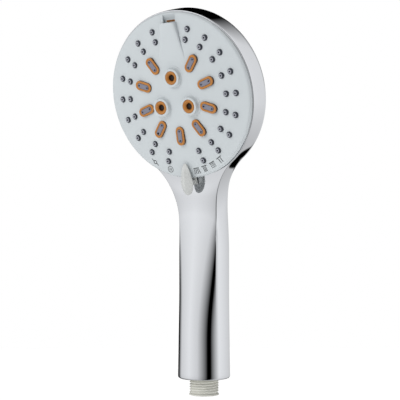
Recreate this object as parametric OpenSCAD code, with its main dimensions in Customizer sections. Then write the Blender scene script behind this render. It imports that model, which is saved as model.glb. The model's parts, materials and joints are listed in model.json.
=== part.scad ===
// Hand shower: a chromed one-piece shell with a tilted round head, a domed spray face,
// a selector lever at the lower rim and a threaded hose inlet at the foot of the handle.
// Millimetres. Origin: centre of the hose thread's free end. +Z runs up the handle.
// The spray face looks towards -Y and leans down by face_tilt.

/* [Shell] */
// Outer radius of the round head
head_r = 60; // [59:0.5:61]
// Depth of the head's straight side wall behind the rim
side_depth = 15; // [13:0.5:16]
// Height of the back dome behind the side wall
dome_depth = 12.5; // [11.5:0.5:14]
// Wall thickness of the shell
wall = 2.5; // [2.3:0.1:2.7]
// Radius of the upper handle
grip_r = 18; // [17.5:0.25:18.5]
// Extra radius at the foot of the handle
grip_flare = 0.75; // [0:0.05:1]
// Height of the foot of the handle above the thread's free end
grip_base = 12.2; // [12:0.1:12.6]

/* [Head position] */
// Angle by which the spray face leans down
face_tilt = 12.5; // [11.5:0.5:13.5]
// Distance of the head's centre in front of the handle's axis
head_front = 29.3; // [28.5:0.1:30]
// Height of the head's centre above the thread's free end
head_z = 213.2; // [212:0.2:215]

/* [Spray face] */
// Radius of the white face plate
plate_r = 58.8; // [58.5:0.1:59]
// Height of the plate's crown over the rim
crown = 6.55; // [6:0.05:7]
// Thickness of the face plate
plate_t = 2; // [1.8:0.1:2.2]
// Radius of the outer ring of small nozzles
outer_ring = 48.2; // [48:0.1:48.4]
// Radius of the inner ring of small nozzles
inner_ring = 40.8; // [40.6:0.1:41]
// Radius of the ring of oval jets
slot_ring = 27.7; // [27.4:0.1:28]
// Radius of the ring of mist nozzles
mist_ring = 13.6; // [13.4:0.1:13.8]

/* [Selector] */
// Angle between two selector settings
step_angle = 8; // [8:0.5:8.5]
// Radius at which the water ports lie
port_ring = 32; // [31.5:0.1:32.5]
// Radius of the water ports
port_r = 1.8; // [1.6:0.1:1.9]
// Radius of the selector's axle
axle_r = 3; // [2.9:0.05:3.1]

/* [Hose inlet] */
// Crest radius of the G 1/2 hose thread
thread_r = 10.4775; // [10.4775]
// Pitch of the hose thread
thread_pitch = 1.8143; // [1.8143]
// Depth of the hose thread
thread_depth = 1.162; // [1.1:0.01:1.162]

/* [Hidden] */
$fn = 96;

// Curvature of the domed face: its surface is crown - r * r / dome_curve over the rim plane
dome_curve = 770;
// Levels of the stack behind the face, measured along the face normal from the rim plane
jet_top = -0.4;
jet_back = -1.6;
mat_back = -3;
chamber_back = -6;
channel_back = -9.4;
rotor_front = -9.5;
rotor_back = -11.6;
manifold_front = -13.1;
manifold_back = -17;
// Level of the water passage along the manifold
passage_w = -18;
passage_r = 3.4;
// Radius shared by the plates of the stack
stack_r = 54.2;
rotor_r = 38;
// Space that a small overlap needs for a clean cut
eps = 0.05;

// Directions of the small nozzles, leaving the top free for the fan jet's hood and the
// bottom free for the lever
nozzle_step = 18;
nozzle_turns = [for (k = [1:9]) 90 + nozzle_step * k, for (k = [11:19]) 90 + nozzle_step * k];
slot_step = 36;
slot_turns = [for (k = [1:9]) 90 + slot_step * k];
mist_turns = [90, 210, 330];
screw_turns = [45, 135, 207, 333];
screw_ring = 44.5;

// Small nozzles of the silicone mat
nozzle_base_r = 2.15;
nozzle_tip_r = 1.4;
nozzle_bore_r = 0.55;
nozzle_rise = 1.5;
// Oval jets: the amber collar and the silicone pad in it
collar_l = 13.3;
collar_w = 6.7;
pad_l = 9.4;
pad_w = 3.5;
pad_hole_gap = 3.4;
// Mist nozzles
mist_r = 4.75;
mist_hole_r = 1.95;
mist_boss_r = 6.4;
mist_top = 9.6;
// Fan jet at the top of the face
fan_y = 52.4;
hood_start = 26;
hood_end = 51.5;

// Half the selector's travel, in degrees
travel = 4 * step_angle;
// Bottom sector that the lever sweeps, with room on each side
sweep = travel + 10;
// Level of the shell's lowered front at the neck
neck_front = -2.3;
// Water channels, as [setting, inner radius, outer radius]. Setting -2 is the pause
channel_runs = [
    [-4, port_ring, screw_ring], [-3, 16, port_ring], [-1, 30, screw_ring],
    [0, port_ring, fan_y], [1, 30, port_ring], [2, 30, screw_ring], [3, 16, port_ring],
    [4, port_ring, screw_ring]
];
// Line of the riser tube behind the handle's axis
riser_y = 3.5;
riser_r = 5.2;
// Flange of the inlet connector, just inside the foot of the handle
flange_z = grip_base + 0.4;
flange_top = flange_z + 5.6;

// Waist where the neck is narrowest, in the face's own up direction, and the neck's fillets
waist_r = 17.2;
fillet_r = 46;
fillet_x = waist_r + fillet_r;
fillet_y = -sqrt(pow(head_r + fillet_r, 2) - pow(fillet_x, 2));

function clamp01(t) = max(0, min(1, t));
function ease(t) = let (u = clamp01(t)) u * u * (3 - 2 * u);
function mix(a, b, t) = a + (b - a) * t;
// Height of the domed face over the rim plane at radius r
function dome(r) = crown - r * r / dome_curve;
// Place along the face's up direction that belongs to a height in the handle
function face_up(z) = (z - head_z - 1.7) / cos(face_tilt);
function polar(r, a) = [r * cos(a), r * sin(a)];

// Half width of the handle and neck at height z
function grip_width(z) = grip_r + grip_flare * pow(clamp01((72 - z) / 57), 1.3);
function half_width(z) = let (y = face_up(z))
    y < fillet_y
        ? mix(grip_width(z), waist_r, ease((y + 112) / (fillet_y + 112)))
        : fillet_x - sqrt(max(1, pow(fillet_r, 2) - pow(min(y, -48) - fillet_y, 2)));
// Front of the neck in the face's plane, lowered for the lever
function neck_y(z) = -head_front - tan(face_tilt) * (z - head_z) - neck_front / cos(face_tilt);
function front_y(z) = z > 128 ? neck_y(z) - 1.5 * (1 - ease((z - 128) / 22))
    : mix(-grip_width(z), neck_y(128) - 1.5, ease((z - 50) / 78));
// Edge between the front and the sides
edge_angle = 28;
function edge_x(z) = mix(grip_width(z) * cos(edge_angle), half_width(z) - 0.3, ease((z - 100) / 35));
function edge_y(z) = z > 130 ? neck_y(z) + 0.6
    : mix(-grip_width(z) * sin(edge_angle), neck_y(130) + 0.6, ease((z - 70) / 60));
// Line where the sides turn into the back
function shoulder_y(z) = mix(0, neck_y(z) + 11, ease((z - 105) / 50));
// Ridge of the back
function back_y(z) = grip_width(z) - 22 * (1 - cos(90 * clamp01((z - 118) / 97)));

// Half of a level section through the handle or neck, from the front round to the back
function half_section(z) = concat(
    [for (i = [0:5]) let (t = i / 6, x = edge_x(z) * sin(90 * t))
        [x, edge_y(z) + (front_y(z) - edge_y(z)) * (1 - pow(x / edge_x(z), 2))]],
    [for (i = [0:4]) let (t = i / 5)
        [edge_x(z) + (half_width(z) - edge_x(z)) * sin(90 * t),
         shoulder_y(z) + (edge_y(z) - shoulder_y(z)) * cos(90 * t)]],
    [for (i = [0:10]) let (a = 90 * i / 10)
        [half_width(z) * cos(a), shoulder_y(z) + (back_y(z) - shoulder_y(z)) * sin(a)]]
);
function section(z) = let (half = half_section(z), n = len(half)) concat(
    [for (p = half) [p[0], p[1], z]],
    [for (i = [n - 2:-1:1]) [-half[i][0], half[i][1], z]]
);

// Levels of the shell's sections, and how far its foot is rounded in at each
shell_levels = [grip_base, grip_base + 0.6, grip_base + 1.6, for (z = [22:8:94]) z, for (z = [100:5:215]) z];
function foot_inset(z) = z < grip_base + 0.3 ? 1.4 : z < grip_base + 1 ? 0.4 : 0;

// Closed skin through a list of rings with the same number of points
module skin(rings) {
    n = len(rings[0]);
    points = [for (ring = rings) each ring];
    last = (len(rings) - 1) * n;
    faces = concat(
        [[for (i = [0:n - 1]) i]],
        [for (k = [0:len(rings) - 2], i = [0:n - 1]) let (j = (i + 1) % n)
            each [[k * n + i, k * n + n + i, k * n + n + j], [k * n + i, k * n + n + j, k * n + j]]],
        [[for (i = [n - 1:-1:0]) last + i]]
    );
    polyhedron(points, faces, convexity = 6);
}

// Round wire wound as a compression spring along +Z from z = 0
module coil(radius, wire, height, turns) {
    sides = 6;
    steps = 12 * turns;
    rings = [for (k = [0:steps]) let (a = 360 * turns * k / steps, z = wire + (height - 2 * wire) * k / steps)
        [for (i = [0:sides - 1]) let (b = 360 * i / sides, r = radius + wire * cos(b))
            [r * cos(a), r * sin(a), z + wire * sin(b)]]];
    mirror([0, 1, 0]) skin(rings);
}

module ring(outer, inner, low, high)
    rotate_extrude() translate([inner, low]) square([outer - inner, high - low]);

module o_ring(radius, wire)
    rotate_extrude() translate([radius, 0]) circle(r = wire, $fn = 32);

// Places its children in the head: x to the right, y up the face, z out of the face
module head()
    translate([0, -head_front, head_z]) rotate([90 + face_tilt, 0, 0]) children();

module around(turns, radius)
    for (a = turns) rotate([0, 0, a]) translate([radius, 0, 0]) children();

module disc(r, low, high)
    translate([0, 0, low]) cylinder(r = r, h = high - low);

// Oval bar with its long side along x
module oval(length, width, low, high) {
    reach = (length - width) / 2;
    translate([0, 0, low]) linear_extrude(high - low) union() {
        square([2 * reach, width], center = true);
        for (s = [-1, 1]) translate([s * reach, 0]) circle(d = width, $fn = 32);
    }
}

// Part of a ring, centred on the direction +Y or, when down, on -Y
module sector(inner, outer, half_angle, low, high, down = false)
    translate([0, 0, low]) rotate([0, 0, (down ? -90 : 90) - half_angle])
        rotate_extrude(angle = 2 * half_angle) translate([inner, 0]) square([outer - inner, high - low]);

// Outline of a curved slot along the port ring with round ends
function kidney_outline(half_w, half_angle) = concat(
    [for (i = [0:12]) polar(port_ring + half_w, 90 + half_angle * (i / 6 - 1))],
    [for (i = [1:5]) polar(port_ring, 90 + half_angle) + polar(half_w, 90 + half_angle + 30 * i)],
    [for (i = [12:-1:0]) polar(port_ring - half_w, 90 + half_angle * (i / 6 - 1))],
    [for (i = [1:5]) polar(port_ring, 90 - half_angle) + polar(half_w, 270 - half_angle + 30 * i)]
);

module kidney(half_w, half_angle, low, high)
    translate([0, 0, low]) linear_extrude(high - low) polygon(kidney_outline(half_w, half_angle));

// ---- shell ----

// Outer or inner outline of the head's dish, shrunk by inset
function dish(inset, front) = concat(
    [[0, front], [head_r - 0.6 - inset, front], [head_r - inset, -side_depth]],
    [for (i = [1:16]) let (a = 90 * i / 16)
        [(head_r - inset) * cos(a), -side_depth - (dome_depth - inset) * sin(a)]]
);

module shell_outside() {
    head() rotate_extrude() polygon(dish(0, -0.3));
    skin([for (z = shell_levels) let (k = 1 - foot_inset(z) / grip_r)
        [for (p = section(z)) [p[0] * k, p[1] * k, z]]]);
}

module shell_cavity() {
    head() rotate_extrude() polygon(dish(wall + 0.5, 5));
    // Channel for the manifold's spine
    head() translate([0, -64, passage_w]) rotate([-90, 0, 0]) cylinder(r = 5.7, h = 50);
    // Handle bore, narrower where the front turns flat, and the riser's passage
    translate([0, 0, grip_base - 1]) cylinder(r = grip_r - wall - 0.3, h = 40);
    translate([0, riser_y, 50]) cylinder(r = 11, h = 68);
    translate([0, riser_y, 110]) cylinder(r = 8.2, h = 49);
    // Room for the lever's blade under the plate
    head() sector(head_r - 6, head_r + 4, sweep, neck_front + 0.7, 5, down = true);
}

module body_shell() color("gainsboro") {
    difference() {
        shell_outside();
        shell_cavity();
    }
    // Posts that take the long screws
    head() around(screw_turns, screw_ring) difference() {
        disc(3.6, -20.5, manifold_back - 0.02);
        disc(1.25, -19.5, manifold_back + 1);
    }
}

// ---- face ----

// Domed plate outline: rounded rim, dome outside, dome inside
function plate_outline() = concat(
    [[0, crown - plate_t], [0, crown]],
    [for (i = [1:14]) let (r = 56.5 * i / 14) [r, dome(r)]],
    [for (i = [1:6]) let (a = 90 - 15 * i) [56.5 + 2.3 * cos(a), dome(56.5) * sin(a)]],
    [[plate_r - 1.8, 0], [plate_r - 1.8, 0.2]],
    [for (i = [13:-1:1]) let (r = 56 * i / 13) [r, dome(r) - plate_t]]
);

module hood() hull() {
    translate([0, hood_start, dome(hood_start) - 0.7]) cube([19.4, 0.4, 0.9], center = true);
    translate([0, hood_end - 0.2, 3.6]) cube([12.7, 0.4, 3.2], center = true);
    translate([0, hood_end - 0.2, 4.6]) cube([8.6, 0.4, 5], center = true);
    translate([0, 36, 6.4]) cube([8, 0.4, 1.6], center = true);
}

// Side view of the notch, whose floor climbs to the dome's edge
notch_outline = [
    [hood_end, 0.35], [fan_y + 1, 0.35], [57.6, 2.4], [57.6, 9], [hood_end, 9]
];

module face_plate() color("whitesmoke") head() difference() {
    union() {
        rotate_extrude() polygon(plate_outline());
        // Locating skirt, open where the lever sweeps
        rotate([0, 0, -90 + sweep]) rotate_extrude(angle = 360 - 2 * sweep)
            translate([plate_r - 4, -4]) square([1.4, 5]);
        around(mist_turns, mist_ring) disc(mist_boss_r, dome(mist_ring) - 1.5, mist_top - 0.4);
        hood();
        // Floor of the fan jet's notch
        translate([0, 53.5, 0.1]) cube([10.9, 4.8, 0.7], center = true);
    }
    around(nozzle_turns, outer_ring) disc(nozzle_base_r + 0.15, -1, 9);
    around(nozzle_turns, inner_ring) disc(nozzle_base_r + 0.15, -1, 9);
    around(slot_turns, slot_ring) oval(collar_l + 0.2, collar_w + 0.2, 0, 9);
    around(mist_turns, mist_ring) disc(mist_r + 0.1, 0, 12);
    // Notch in front of the hood, and the fan jet's slit
    translate([-5.15, 0, 0]) rotate([90, 0, 90]) linear_extrude(10.3) polygon(notch_outline);
    translate([-3.7, fan_y - 0.7, -1]) cube([7.4, 1.4, 3]);
}

module jet_plate() color("peru") head() difference() {
    union() {
        disc(stack_r - 0.2, jet_back, jet_top);
        around(slot_turns, slot_ring) oval(collar_l, collar_w, jet_back, dome(slot_ring) + 1.6);
        around(mist_turns, mist_ring) disc(mist_r, jet_back, mist_top);
        translate([-3.6, fan_y - 0.6, jet_back]) cube([7.2, 1.2, 2.3]);
    }
    around(nozzle_turns, outer_ring) disc(nozzle_base_r + 0.15, -3, 1);
    around(nozzle_turns, inner_ring) disc(nozzle_base_r + 0.15, -3, 1);
    around(slot_turns, slot_ring) oval(pad_l + 0.2, pad_w + 0.2, -3, 9);
    around(mist_turns, mist_ring) {
        disc(3.1, -3, mist_top - 2.2);
        disc(mist_hole_r, 0, mist_top + 1);
    }
    translate([-3.1, fan_y - 0.3, -3]) cube([6.2, 0.6, 6]);
}

// One soft nozzle with its tapered tip, standing on the mat
module soft_nozzle(radius) {
    face = dome(radius);
    disc(nozzle_base_r, mat_back + 1, face + 0.5);
    translate([0, 0, face + 0.5]) cylinder(r1 = nozzle_base_r, r2 = nozzle_tip_r, h = nozzle_rise - 0.5);
}

module nozzle_mat() color("dimgray") head() difference() {
    union() {
        disc(stack_r - 0.2, mat_back, jet_back);
        around(nozzle_turns, outer_ring) soft_nozzle(outer_ring);
        around(nozzle_turns, inner_ring) soft_nozzle(inner_ring);
        around(slot_turns, slot_ring) oval(pad_l, pad_w, jet_back - 1, dome(slot_ring) + 1.8);
    }
    for (r = [outer_ring, inner_ring]) around(nozzle_turns, r) {
        disc(nozzle_bore_r, -4, 9);
        disc(1.4, -4, dome(r) - 1);
    }
    around(slot_turns, slot_ring) for (s = [-1, 1]) translate([s * pad_hole_gap, 0, 0]) {
        disc(0.6, -4, 9);
        disc(1, -4, 4);
    }
    around(mist_turns, mist_ring) disc(mist_r - 1, -4, 0);
    translate([-3.1, fan_y - 0.4, -4]) cube([6.2, 0.8, 4]);
}

// Cores that spin the water in the mist nozzles, each with slanted grooves
module mist_swirlers() color("slategray") head() around(mist_turns, mist_ring) difference() {
    disc(3, 2.6, mist_top - 2.6);
    for (k = [0:2]) rotate([0, 0, 120 * k]) translate([3, 0, 5]) rotate([35, 0, 0])
        cube([2, 1.1, 12], center = true);
}

// ---- water plates and valve ----

module chamber_plate() color("white") head() difference() {
    disc(stack_r, chamber_back, mat_back);
    difference() {
        ring(51.1, 38.2, mat_back - 2, mat_back + 1);
        around(screw_turns, screw_ring) disc(3.6, chamber_back, 0);
    }
    ring(35.4, 20.3, mat_back - 2, mat_back + 1);
    ring(18.4, 8.8, mat_back - 2, mat_back + 1);
    translate([-3.6, fan_y - 0.5, mat_back - 2]) cube([7.2, 1.2, 3]);
    // Feed holes from the channels
    for (run = channel_runs) for (r = [run[1], run[2]]) if (r != port_ring)
        rotate([0, 0, 90 + step_angle * run[0]]) translate([r == fan_y ? fan_y + 0.1 : r, 0, 0])
            disc(r == fan_y ? 0.6 : 1.1, -7, 0);
    around(screw_turns, screw_ring) {
        disc(1.6, -7, 0);
        disc(2.9, mat_back - 1.2, 0);
    }
}

module channel_plate() color("white") head() difference() {
    union() {
        disc(stack_r, channel_back, chamber_back);
        // Foot that holds the detent spring
        translate([39, -16, rotor_back + 0.3]) cube([3.2, 4, 3]);
    }
    for (run = channel_runs) rotate([0, 0, 90 + step_angle * run[0]]) {
        translate([run[1], -1.1, chamber_back - 2]) cube([run[2] - run[1] + eps, 2.2, 3]);
        translate([run[1], 0, 0]) disc(1.1, chamber_back - 2, 0);
        translate([run[2], 0, 0]) disc(1.1, chamber_back - 2, 0);
        translate([port_ring, 0, 0]) disc(port_r, -12, chamber_back - 1);
    }
    kidney(3.5, travel + 5, channel_back - 1, channel_back + 0.8);
    disc(axle_r + 0.02, channel_back - 1, chamber_back - 0.8);
    around(screw_turns, screw_ring) disc(1.6, -12, 0);
    translate([40.4, -17, rotor_back]) cube([0.4, 6, 2]);
}

module port_gasket() color("darkslategray") head() difference() {
    kidney(3.4, travel + 5, channel_back + 0.05, channel_back + 0.78);
    for (run = channel_runs) rotate([0, 0, 90 + step_angle * run[0]]) translate([port_ring, 0, 0])
        disc(port_r - 0.1, -12, 0);
}

module manifold() color("ivory") difference() {
    union() {
        head() {
            translate([0, -60, passage_w]) rotate([-90, 0, 0]) cylinder(r = 4.85, h = 88);
            disc(9, -22.6, manifold_front);
            kidney(7, travel + 10, -21.6, manifold_front);
            around(screw_turns, screw_ring) disc(3.6, manifold_back, channel_back);
            for (a = screw_turns) rotate([0, 0, a]) translate([0, -2.5, manifold_back])
                cube([screw_ring, 5, 2.6]);
        }
        translate([0, riser_y, 140]) cylinder(r = 7.6, h = 18);
    }
    head() {
        translate([0, -57, passage_w]) rotate([-90, 0, 0]) cylinder(r = passage_r, h = 82);
        kidney(2.8, travel + 2, passage_w, manifold_front + 1);
        kidney(4.7, travel + 9, manifold_front - 1.4, manifold_front + 1);
        around([90 - travel - 8, 90 + travel + 8], port_ring) disc(2, manifold_front - 5, manifold_front);
        disc(axle_r + 0.02, -20, manifold_front + 1);
        around(screw_turns, screw_ring) disc(1.6, manifold_back - 1, -8);
    }
    translate([0, riser_y, 139]) cylinder(r = riser_r + 0.1, h = 18);
    translate([0, riser_y, 148]) cylinder(r = 6.7, h = 1.6);
    translate([0, riser_y, 156]) cylinder(r = 3.2, h = 6);
}

module kidney_seal() color("darkslategray") head() difference() {
    kidney(4.6, travel + 9, manifold_front - 1.3, rotor_back - 0.1);
    kidney(2.7, travel + 2, manifold_front - 2, rotor_back + 1);
}

module seal_springs() color("silver") head()
    around([90 - travel - 8, 90 + travel + 8], port_ring)
        translate([0, 0, manifold_front - 4.9]) coil(1.4, 0.25, 3.5, 4);

module axle_pin() color("silver") head() disc(axle_r, -19.9, chamber_back - 0.9);

module rotor_disc() color("lightgray") head() difference() {
    disc(rotor_r, rotor_back, rotor_front);
    rotate([0, 0, 90]) translate([port_ring, 0, 0]) disc(port_r, -13, -8);
    disc(5.02, -13, -8);
    // Detent notches
    for (k = [-4:4]) rotate([0, 0, step_angle * k]) translate([rotor_r + 0.2, 0, 0]) disc(1.3, -13, -8);
    // Seat of the lever's foot
    translate([-7, -rotor_r - 1, rotor_back - 1]) cube([14, 11, 2.05]);
    for (s = [-1, 1]) translate([4 * s, -32, 0]) disc(1.03, -13, -8);
}

module rotor_bush() color("goldenrod") head() {
    ring(5, axle_r + 0.05, rotor_back - 0.05, rotor_front);
    ring(6.6, axle_r + 0.05, manifold_front + 0.05, rotor_back - 0.02);
}

module lever_pins() color("silver") head()
    for (s = [-1, 1]) translate([4 * s, -32, 0]) disc(1, rotor_back + 0.02, rotor_front - 0.1);

module selector_lever() color("lightsteelblue") head() {
    difference() {
        union() {
            // Foot in the rotor and arm out to the rim
            translate([-6.8, -56, rotor_back]) cube([13.6, 27.9, 1]);
            // Wall up to the rim, then the blade under the plate
            sector(stack_r + 0.5, 56.1, 6.5, rotor_back, -0.3, down = true);
            sector(stack_r + 0.5, 63.6, 4, -1.3, -0.3, down = true);
            sector(60.2, 63.6, 3, -1.3, 5.6, down = true);
        }
        for (s = [-1, 1]) translate([4 * s, -32, 0]) disc(1.03, -13, -8);
    }
    // Thumb piece: a drop shape with a ridge
    hull() {
        translate([0, -47.6, 5.3]) cylinder(r = 0.25, h = 0.7, $fn = 16);
        translate([0, -61.5, 5.1]) cylinder(r = 5, h = 0.9, $fn = 32);
        translate([0, -67, 5.1]) cylinder(r = 3.3, h = 0.9, $fn = 32);
        translate([0, -56, 5.3]) cylinder(r = 0.3, h = 3.2, $fn = 16);
        translate([0, -64, 5.3]) cylinder(r = 0.3, h = 3.9, $fn = 16);
    }
}

// Leaf that clicks into the rotor's notches
module detent_spring() color("silver") head() difference() {
    union() {
        translate([40.45, -15.8, rotor_back + 0.5]) cube([0.3, 18.8, 1.4]);
        translate([39.55, 0, 0]) disc(1.05, rotor_back + 0.5, rotor_back + 1.9);
    }
    translate([40.75, -3, -13]) cube([3, 6, 5]);
    translate([39.55, 0, 0]) disc(0.75, -13, -8);
}

module plate_screws() color("silver") head() around(screw_turns, screw_ring) {
    disc(2.7, mat_back - 1.15, mat_back - 0.1);
    disc(1.2, -19.4, mat_back - 1);
}

// ---- inlet ----

module riser_tube() color("white") translate([0, riser_y, 0]) ring(riser_r, 4, 34.2, 156.5);

module riser_o_rings() color("black") translate([0, riser_y, 0]) for (z = [39, 148.8])
    translate([0, 0, z]) o_ring(riser_r + 0.74, 0.7);

// Outline of the hose thread: a plain collar at the free end, then the ridges
function thread_outline() = concat(
    [[thread_r, 0], [thread_r, 0.9], [thread_r - thread_depth, 1.5]],
    [for (k = [0:5]) let (z = 1.9 + thread_pitch * k)
        each [[thread_r - thread_depth, z], [thread_r, z + 0.45],
              [thread_r, z + 0.85], [thread_r - thread_depth, z + 1.3]]],
    [[thread_r - thread_depth, flange_z]]
);

module inlet_connector() color("antiquewhite") difference() {
    union() {
        rotate_extrude() polygon(concat([[0, 0]], thread_outline(), [[0, flange_z]]));
        difference() {
            cylinder(r = 14.9, h = flange_top);
            translate([0, 0, -1]) cylinder(r = 20, h = flange_z + 1);
            ring(16, 13.2, flange_z + 1.9, flange_z + 3.9);
        }
        translate([0, 0, flange_z - 0.5]) cylinder(r = 11.2, h = 44.5 - flange_z);
    }
    translate([0, 0, -1]) cylinder(r = 8.3, h = 6);
    translate([0, 0, 4]) cylinder(r = 7.4, h = 5.2);
    translate([0, 0, 9]) cylinder(r = 7, h = 21);
    translate([0, riser_y, 29]) cylinder(r = 3.2, h = 6);
    translate([0, riser_y, 34]) cylinder(r = riser_r + 0.1, h = 11);
    translate([0, riser_y, 38.2]) cylinder(r = 6.7, h = 1.6);
}

module connector_o_ring() color("black") translate([0, 0, flange_z + 2.9]) o_ring(14.2, 0.9);

module inlet_filter() color("silver") {
    ring(8.2, 7, 2.2, 4.9);
    difference() {
        translate([0, 0, 3.2]) cylinder(r = 7.2, h = 0.6);
        for (i = [1:4]) for (k = [0:6 * i - 1]) rotate([0, 0, 60 * k / i]) translate([1.5 * i, 0, 2])
            cylinder(r = 0.5, h = 4, $fn = 16);
    }
}

module flow_regulator() color("lightgreen") {
    ring(7.3, 6, 5.3, 8.8);
    ring(2.6, 1, 5.3, 8.8);
    for (k = [0:5]) rotate([0, 0, 60 * k]) translate([2.3, -0.6, 7.2]) cube([4, 1.2, 1.6]);
}

module regulator_o_ring() color("black") translate([0, 0, 6.35]) o_ring(3.6, 0.8);

module check_valve_body() color("whitesmoke") difference() {
    translate([0, 0, 9.4]) cylinder(r = 6.9, h = 20);
    translate([0, 0, 13]) cylinder(r = 4.9, h = 12);
    translate([0, 0, 9]) cylinder(r = 3.2, h = 5);
    translate([0, 0, 24]) cylinder(r = 1.16, h = 7);
    for (k = [0:5]) rotate([0, 0, 60 * k + 30]) translate([3.3, 0, 24]) cylinder(r = 1.2, h = 7, $fn = 24);
    ring(8, 6.1, 18, 19.6);
}

module check_valve_o_ring() color("black") translate([0, 0, 18.8]) o_ring(6.55, 0.42);

module check_poppet() color("steelblue") {
    translate([0, 0, 13.05]) cylinder(r = 4.4, h = 1.6);
    translate([0, 0, 14]) cylinder(r = 1.1, h = 12.9);
}

module check_valve_spring() color("silver")
    translate([0, 0, 14.75]) coil(2.2, 0.25, 10.2, 5);

body_shell();
face_plate();
jet_plate();
nozzle_mat();
mist_swirlers();
chamber_plate();
channel_plate();
port_gasket();
manifold();
kidney_seal();
seal_springs();
axle_pin();
rotor_disc();
rotor_bush();
lever_pins();
selector_lever();
detent_spring();
plate_screws();
riser_tube();
riser_o_rings();
inlet_connector();
connector_o_ring();
inlet_filter();
flow_regulator();
regulator_o_ring();
check_valve_body();
check_valve_o_ring();
check_poppet();
check_valve_spring();
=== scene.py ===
import json
import math
import bmesh
import bpy
from mathutils import Matrix, Vector


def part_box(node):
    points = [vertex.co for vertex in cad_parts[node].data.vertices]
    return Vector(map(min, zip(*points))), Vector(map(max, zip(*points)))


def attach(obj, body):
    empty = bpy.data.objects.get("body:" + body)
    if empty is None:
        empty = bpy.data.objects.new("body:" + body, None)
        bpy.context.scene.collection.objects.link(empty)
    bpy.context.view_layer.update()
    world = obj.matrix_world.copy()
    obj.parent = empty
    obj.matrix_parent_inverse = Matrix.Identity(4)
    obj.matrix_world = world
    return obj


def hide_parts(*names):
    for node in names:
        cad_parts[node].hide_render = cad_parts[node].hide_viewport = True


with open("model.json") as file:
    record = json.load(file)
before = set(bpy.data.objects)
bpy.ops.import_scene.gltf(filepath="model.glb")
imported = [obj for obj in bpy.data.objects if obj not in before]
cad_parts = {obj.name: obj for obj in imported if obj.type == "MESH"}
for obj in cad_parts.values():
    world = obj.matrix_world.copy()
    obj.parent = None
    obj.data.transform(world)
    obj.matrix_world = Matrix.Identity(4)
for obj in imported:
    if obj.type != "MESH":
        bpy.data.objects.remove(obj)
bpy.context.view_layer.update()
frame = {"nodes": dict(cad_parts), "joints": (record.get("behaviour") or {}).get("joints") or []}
scene = bpy.context.scene

# Shapes are written in millimetres and become metres when their mesh is made.
MM = 0.001

# ---------------------------------------------------------------- the head's own frame
# x to the right, y up the face, z out of the face, from the selector's axis.
selector = {joint["name"]: joint for joint in frame["joints"]}["selector_turn"]
centre = Vector(selector["pos_m"]) / MM
normal = Vector(selector["axis"]).normalized()
tilt = math.atan2(-normal.z, -normal.y)
head = Matrix.Translation(centre) @ Matrix.Rotation(math.pi / 2 + tilt, 4, "X")
up_face = Vector((0, -math.sin(tilt), math.cos(tilt)))

# Spray face
CROWN = 6.55
DOME_CURVE = 770
PLATE_R = 58.8
PLATE_T = 2.0
OUTER_RING = 48.2
INNER_RING = 40.8
SLOT_RING = 27.7
MIST_RING = 13.6
NOZZLE_TURNS = [90 + 18 * k for k in range(1, 20) if k != 10]
SLOT_TURNS = [90 + 36 * k for k in range(1, 10)]
MIST_TURNS = [90, 210, 330]
HOOD_END = 51.5
FAN_Y = 52.4
STACK_R = 54.0
JET_TOP = -0.4
JET_BACK = -1.6
MAT_BACK = -3.0


def dome(r):
    return CROWN - r * r / DOME_CURVE


def clamp(t):
    return max(0.0, min(1.0, t))


def ease(t):
    t = clamp(t)
    return t * t * (3 - 2 * t)


def mix(a, b, t):
    return a + (b - a) * t


def hermite(x, x0, y0, slope0, x1, y1, slope1):
    """Cubic that starts at (x0, y0) and ends at (x1, y1) with the given slopes."""
    span = x1 - x0
    t = clamp((x - x0) / span)
    return (
        (2 * t**3 - 3 * t**2 + 1) * y0
        + (t**3 - 2 * t**2 + t) * span * slope0
        + (3 * t**2 - 2 * t**3) * y1
        + (t**3 - t**2) * span * slope1
    )


def polar(r, degrees):
    a = math.radians(degrees)
    return r * math.cos(a), r * math.sin(a)


# ---------------------------------------------------------------- shapes: (points, faces)
def placed(shape, matrix):
    points, faces = shape
    return [matrix @ Vector(p) for p in points], faces


def joined(shapes):
    points, faces = [], []
    for shape_points, shape_faces in shapes:
        start = len(points)
        points += [Vector(p) for p in shape_points]
        faces += [[start + i for i in face] for face in shape_faces]
    return points, faces


def grid(rows, close_rows=False, close_columns=False):
    """Quads between rows of points; rows run round the columns."""
    count = len(rows[0])
    points = [p for row in rows for p in row]
    faces = []
    for i in range(len(rows) if close_rows else len(rows) - 1):
        for j in range(count if close_columns else count - 1):
            a, b = i * count, (i + 1) % len(rows) * count
            k = (j + 1) % count
            faces.append([a + j, a + k, b + k, b + j])
    return points, faces


def lathe(outline, sides=48):
    """Turns an outline of (radius, height[, reach]) points round z. A reach pulls the two
    halves apart along x, which makes an oval."""
    rows = []
    split = any(len(point) > 2 for point in outline)
    half = sides // 2
    if split:
        angles = [(-90 + 180 * i / half, 1) for i in range(half + 1)]
        angles += [(90 + 180 * i / half, -1) for i in range(half + 1)]
    else:
        angles = [(360 * i / sides, 0) for i in range(sides)]
    for degrees, side in angles:
        row = []
        for point in outline:
            pull = point[2] if len(point) > 2 else 0
            x, y = polar(point[0], degrees)
            row.append((x + side * pull, y, point[1]))
        rows.append(row)
    return grid(rows, close_rows=True, close_columns=True)


def cylinder(radius, low, high, sides, reach=None):
    """Round or, with a reach, oval solid round z."""
    outline = [(0, low), (radius, low), (radius, high), (0, high)]
    return lathe([point if reach is None else (*point, reach) for point in outline], sides)


def around(shape, radius, turns):
    """Copies of a shape at a radius, each turned so that its x points outwards."""
    out = []
    for degrees in turns:
        turn = Matrix.Rotation(math.radians(degrees), 4, "Z")
        out.append(placed(shape, turn @ Matrix.Translation((radius, 0, 0))))
    return joined(out)


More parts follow.
